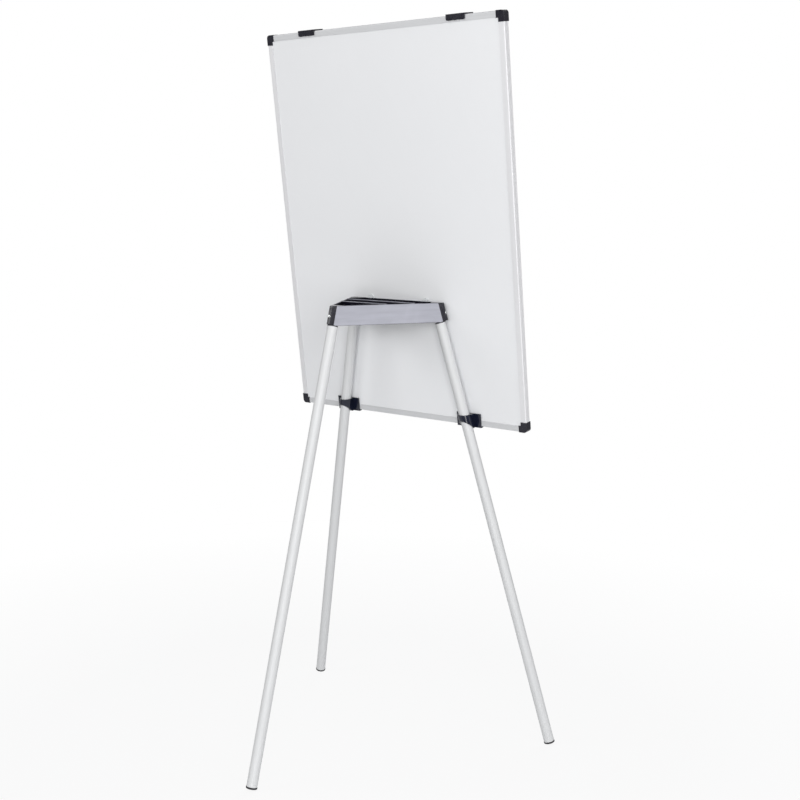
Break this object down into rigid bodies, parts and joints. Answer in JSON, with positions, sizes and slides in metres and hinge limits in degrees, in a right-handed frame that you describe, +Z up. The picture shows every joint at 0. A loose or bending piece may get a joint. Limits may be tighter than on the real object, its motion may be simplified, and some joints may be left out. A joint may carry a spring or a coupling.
{
  "type": "tripod flipchart easel",
  "caption": "Folding tripod easel with a triangular head that carries a framed magnetic writing board, leg clips, pad hooks and a pen tray.",
  "frame": {"origin": "on the floor, under the middle of the easel's bounding box", "axes": "+Z up; the writing side faces -Y and the rear leg stands towards +Y; +X is to the right as seen from the front"},
  "size_m": [0.7806, 0.6796, 1.7247],
  "materials": {
    "black_plastic": "satin moulded",
    "black_gloss": "glossy moulded",
    "grey_panel": "satin",
    "silver": "satin anodised",
    "steel": "zinc plated",
    "rubber": "matt",
    "white_sheet": "glossy enamel",
    "back_grey": "satin",
    "core_board": "raw fibreboard",
    "nylon": "milky"
  },
  "bodies": {
    "head": {"head_frame": "black_plastic", "side_panel_front": "grey_panel", "side_panel_left": "grey_panel", "side_panel_right": "grey_panel", "base_plate": "black_plastic", "base_screws": "steel", "hinge_pins": "steel", "stop_screws": "steel"},
    "leg_rear": {"leg_tube_rear": "silver", "knuckle_rear": "black_plastic", "foot_rear": "rubber"},
    "leg_left": {"leg_tube_left": "silver", "knuckle_left": "black_plastic", "foot_left": "rubber"},
    "leg_right": {"leg_tube_right": "silver", "knuckle_right": "black_plastic", "foot_right": "rubber"},
    "board": {"writing_sheet": "white_sheet", "panel_core": "core_board", "back_sheet": "back_grey", "rail_top": "silver", "rail_bottom": "silver", "rail_left": "silver", "rail_right": "silver", "corner_cap_top_left": "black_plastic", "corner_cap_top_right": "black_plastic", "corner_cap_bottom_left": "black_plastic", "corner_cap_bottom_right": "black_plastic", "hanger_left": "nylon", "hanger_right": "nylon", "hanger_rivets": "steel", "pen_tray": "silver", "tray_end_left": "black_plastic", "tray_end_right": "black_plastic", "tray_screws": "steel"},
    "hook_left": {"hook_left": "black_plastic"},
    "hook_right": {"hook_right": "black_plastic"},
    "knob_left": {"hook_knob_left": "black_plastic", "hook_stud_left": "steel"},
    "knob_right": {"hook_knob_right": "black_plastic", "hook_stud_right": "steel"},
    "clip_left": {"board_clip_left": "black_gloss"},
    "clip_right": {"board_clip_right": "black_gloss"}
  },
  "joints": [
    {"name": "leg_rear_fold", "type": "hinge", "parent": "head", "child": "leg_rear", "pos_m": [0, 0.03701, 1.06383], "axis": [-1, 0, 0], "range_deg": [0, 15.3]},
    {"name": "leg_left_fold", "type": "hinge", "parent": "head", "child": "leg_left", "pos_m": [-0.12626, -0.18168, 1.06383], "axis": [0.5, -0.866, 0], "range_deg": [0, 15.3]},
    {"name": "leg_right_fold", "type": "hinge", "parent": "head", "child": "leg_right", "pos_m": [0.12626, -0.18168, 1.06383], "axis": [0.5, 0.866, 0], "range_deg": [0, 15.3]},
    {"name": "board_lift", "type": "slide", "parent": "head", "child": "board", "axis": [0, 0.1355, 0.9908], "range_m": [0, 0.04]},
    {"name": "hook_left_slide", "type": "slide", "parent": "board", "child": "hook_left", "axis": [1, 0, 0], "range_m": [-0.077, 0.193]},
    {"name": "knob_left_turn", "type": "hinge", "parent": "hook_left", "child": "knob_left", "pos_m": [-0.224, -0.14827, 1.71392], "axis": [0, -0.9908, 0.1355], "range_deg": [0, 720]},
    {"name": "hook_right_slide", "type": "slide", "parent": "board", "child": "hook_right", "axis": [-1, 0, 0], "range_m": [-0.083, 0.187]},
    {"name": "knob_right_turn", "type": "hinge", "parent": "hook_right", "child": "knob_right", "pos_m": [0.218, -0.14827, 1.71392], "axis": [0, -0.9908, 0.1355], "range_deg": [0, 720]},
    {"name": "clip_left_slide", "type": "slide", "parent": "leg_left", "child": "clip_left", "axis": [-0.2285, -0.1319, -0.9646], "range_m": [0, 0.3]},
    {"name": "clip_right_slide", "type": "slide", "parent": "leg_right", "child": "clip_right", "axis": [0.2285, -0.1319, -0.9646], "range_m": [0, 0.3]}
  ]
}
